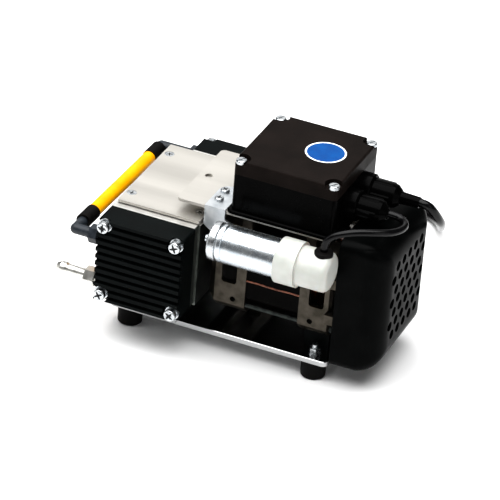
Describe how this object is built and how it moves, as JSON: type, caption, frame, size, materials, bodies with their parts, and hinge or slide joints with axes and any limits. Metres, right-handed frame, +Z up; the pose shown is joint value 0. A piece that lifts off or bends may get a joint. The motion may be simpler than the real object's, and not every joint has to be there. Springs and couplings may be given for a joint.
{
  "type": "diaphragm vacuum pump",
  "caption": "Oil-free diaphragm vacuum pump: opposed ribbed heads on a crankcase, motor with fan cover, run capacitor and terminal box on a base plate with rubber feet.",
  "frame": {"origin": "centre of the four rubber feet, on the surface the pump stands on", "axes": "+X along the motor shaft from the heads towards the fan, +Y towards the rear head, -Y towards the head with the inlet nozzle, +Z up"},
  "size_m": [0.2757, 0.3217, 0.17],
  "materials": {
    "cast_alloy": "sand-cast, satin",
    "sheet_aluminium": "rolled sheet, brushed and anodised clear",
    "black_casting": "satin black powder coat",
    "bracket_casting": "die-cast, tumbled",
    "zinc_steel": "bright zinc plated",
    "bearing_steel": "ground steel",
    "shaft_steel": "ground steel",
    "lamination": "varnished black lamination stack",
    "copper_winding": "enamelled copper wire",
    "foot_rubber": "moulded black rubber",
    "diaphragm_rubber": "fabric-backed rubber",
    "gasket_rubber": "sheet rubber",
    "valve_rubber": "thin rubber sheet",
    "cover_plastic": "moulded black, fine texture",
    "fan_plastic": "moulded dark grey",
    "box_plastic": "moulded black, fine texture",
    "gland_plastic": "moulded black nylon",
    "elbow_plastic": "moulded dark grey nylon",
    "can_aluminium": "drawn can, bright",
    "boot_plastic": "moulded ivory",
    "grommet_rubber": "moulded black rubber",
    "hose_yellow": "extruded yellow tube",
    "sleeve_rubber": "black sleeve",
    "nickel_brass": "turned brass, nickel plated",
    "cable_sheath": "black flexible PVC"
  },
  "bodies": {
    "frame": {"base_plate": "sheet_aluminium", "rubber_feet": "foot_rubber", "foot_fixings": "zinc_steel", "crankcase": "cast_alloy", "case_gasket": "gasket_rubber", "case_lid": "sheet_aluminium", "case_lid_screws": "zinc_steel", "front_head_cover": "black_casting", "front_valve_plate": "black_casting", "front_diaphragm": "diaphragm_rubber", "rear_head_cover": "black_casting", "rear_valve_plate": "black_casting", "rear_diaphragm": "diaphragm_rubber", "valve_flaps": "valve_rubber", "head_washers": "zinc_steel", "head_screws": "zinc_steel", "left_end_bracket": "bracket_casting", "right_end_bracket": "bracket_casting", "shaft_bearings": "bearing_steel", "stator_stack": "lamination", "stator_windings": "copper_winding", "tie_bolts": "zinc_steel", "motor_saddle": "black_casting", "fan_cover": "cover_plastic", "cover_clips": "zinc_steel", "mounting_plate": "sheet_aluminium", "capacitor_strap": "sheet_aluminium", "strap_screws": "zinc_steel", "capacitor_can": "can_aluminium", "capacitor_nut": "zinc_steel", "capacitor_boot": "boot_plastic", "boot_grommet": "grommet_rubber", "terminal_box": "box_plastic", "box_lid": "box_plastic", "lid_screws": "zinc_steel", "lead_gland": "gland_plastic", "mains_gland": "gland_plastic", "front_elbow": "elbow_plastic", "rear_elbow": "elbow_plastic", "hose": "hose_yellow", "hose_sleeves": "sleeve_rubber", "inlet_nozzle": "nickel_brass", "capacitor_lead": "cable_sheath", "mains_cable": "cable_sheath", "cable_coil": "cable_sheath", "mains_plug": "cable_sheath"},
    "rotor": {"rotor_shaft": "shaft_steel", "eccentric": "shaft_steel", "rotor_core": "lamination", "cooling_fan": "fan_plastic"},
    "front_crank": {"front_rod": "cast_alloy", "front_rod_bearing": "bearing_steel", "front_clamp_disc": "sheet_aluminium"},
    "rear_crank": {"rear_rod": "cast_alloy", "rear_rod_bearing": "bearing_steel", "rear_clamp_disc": "sheet_aluminium"}
  },
  "joints": [
    {"name": "rotor_spin", "type": "hinge", "parent": "frame", "child": "rotor", "pos_m": [0, 0, 0.0735], "axis": [1, 0, 0], "continuous": true},
    {"name": "front_crank_pin", "type": "hinge", "parent": "rotor", "child": "front_crank", "pos_m": [-0.057, 0, 0.075], "axis": [1, 0, 0], "continuous": true, "deforming": ["front_diaphragm"]},
    {"name": "rear_crank_pin", "type": "hinge", "parent": "rotor", "child": "rear_crank", "pos_m": [-0.0386, 0, 0.075], "axis": [1, 0, 0], "continuous": true, "deforming": ["rear_diaphragm"]}
  ],
  "couplings": [
    {"joint": "front_crank_pin", "follows": "rotor_spin", "ratio": -1},
    {"joint": "rear_crank_pin", "follows": "rotor_spin", "ratio": -1}
  ]
}
